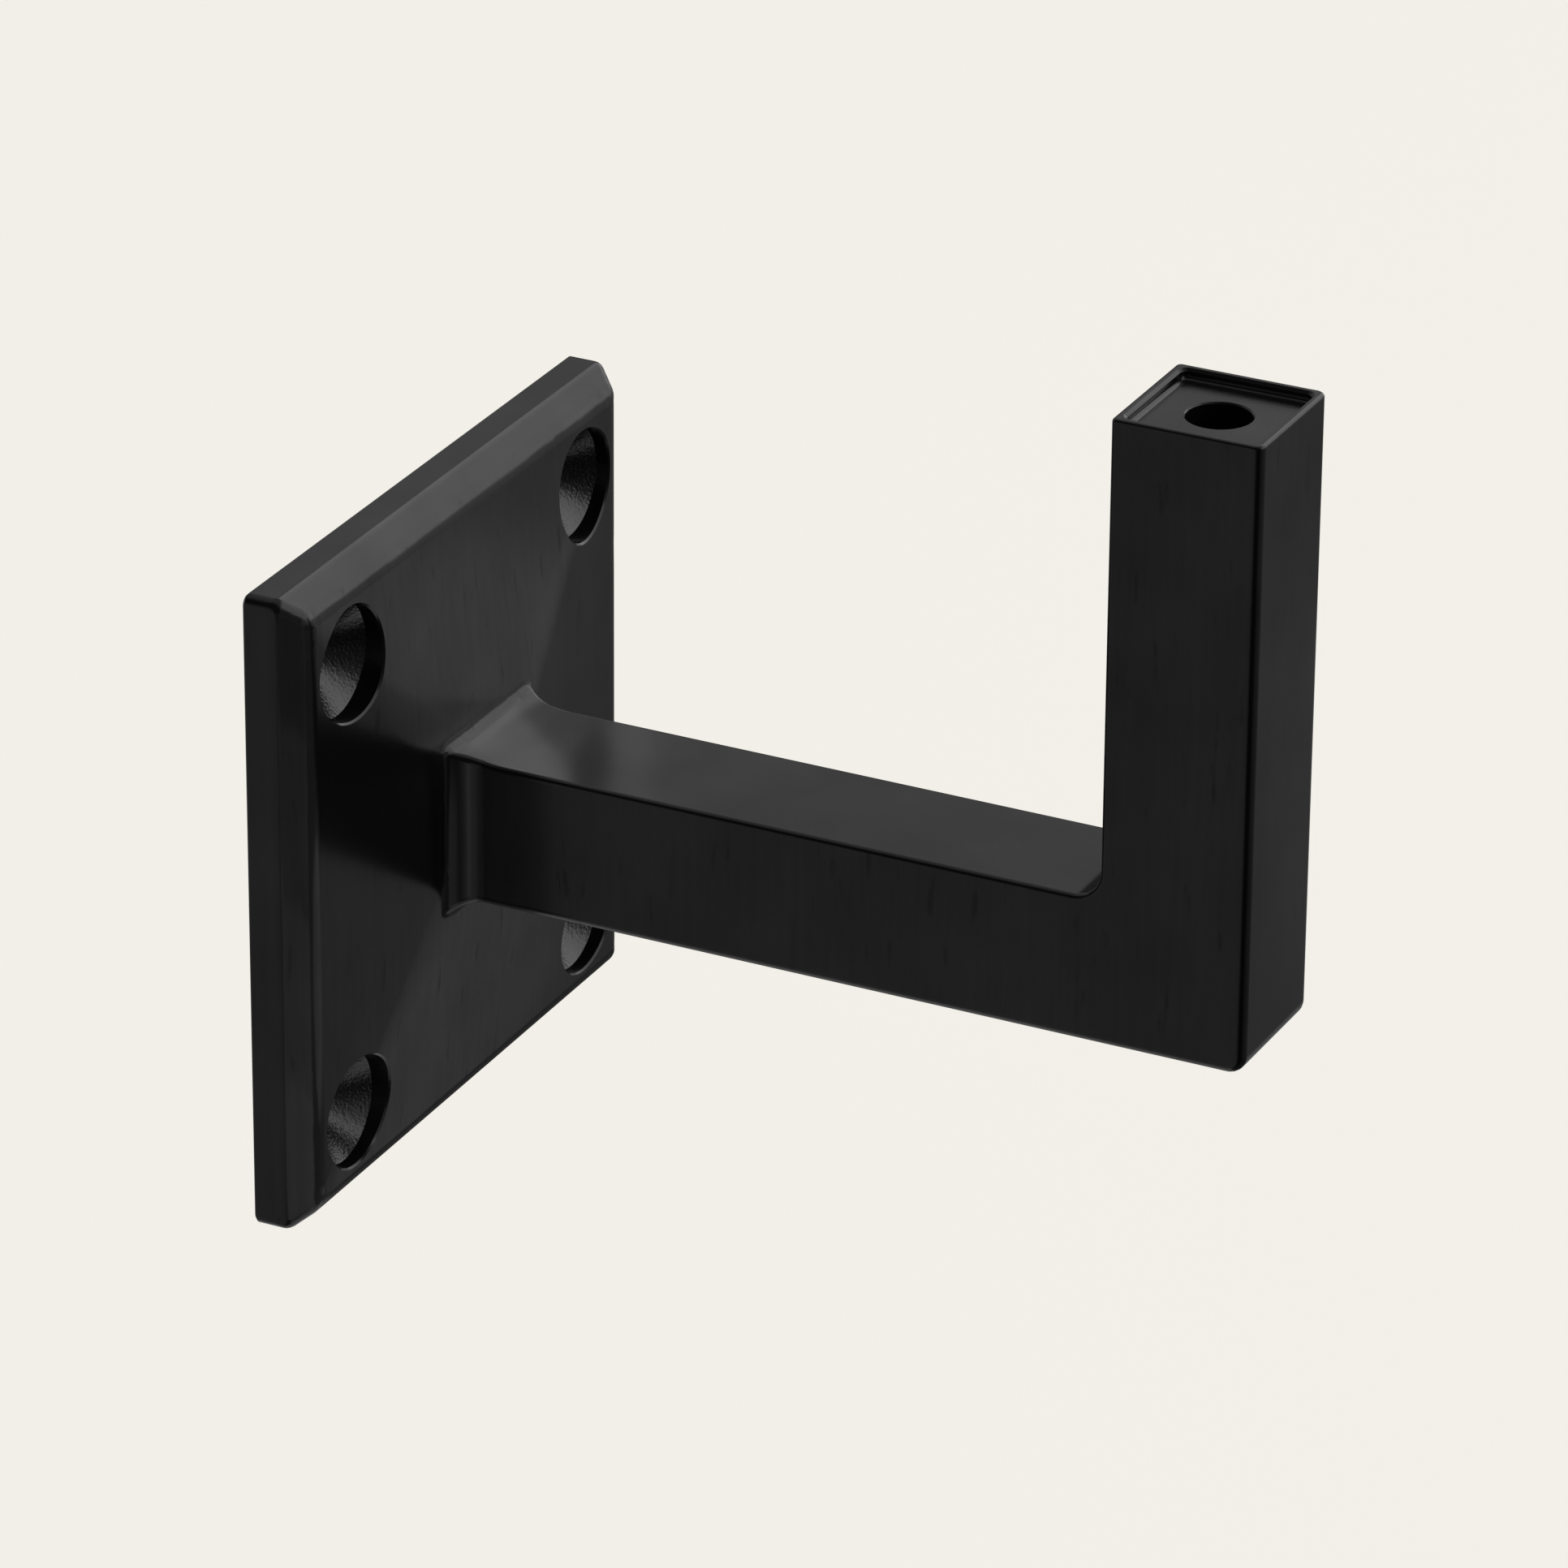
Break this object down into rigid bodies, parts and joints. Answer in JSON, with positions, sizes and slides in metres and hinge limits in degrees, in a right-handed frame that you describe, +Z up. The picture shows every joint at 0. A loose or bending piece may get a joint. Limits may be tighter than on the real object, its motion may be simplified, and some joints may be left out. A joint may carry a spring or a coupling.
{
  "type": "handrail bracket",
  "caption": "Square wall bracket for a handrail: a countersunk wall plate, a square arm and an upright post with a recessed threaded seat for the rail's saddle.",
  "frame": {"origin": "centre of the wall plate's back face", "axes": "+X out of the wall along the arm, +Z up along the post, +Y to the right of someone who faces the wall"},
  "size_m": [0.0969, 0.07, 0.0945],
  "materials": {
    "black_paint": "satin"
  },
  "bodies": {
    "root": {"bracket": "black_paint"}
  },
  "joints": []
}
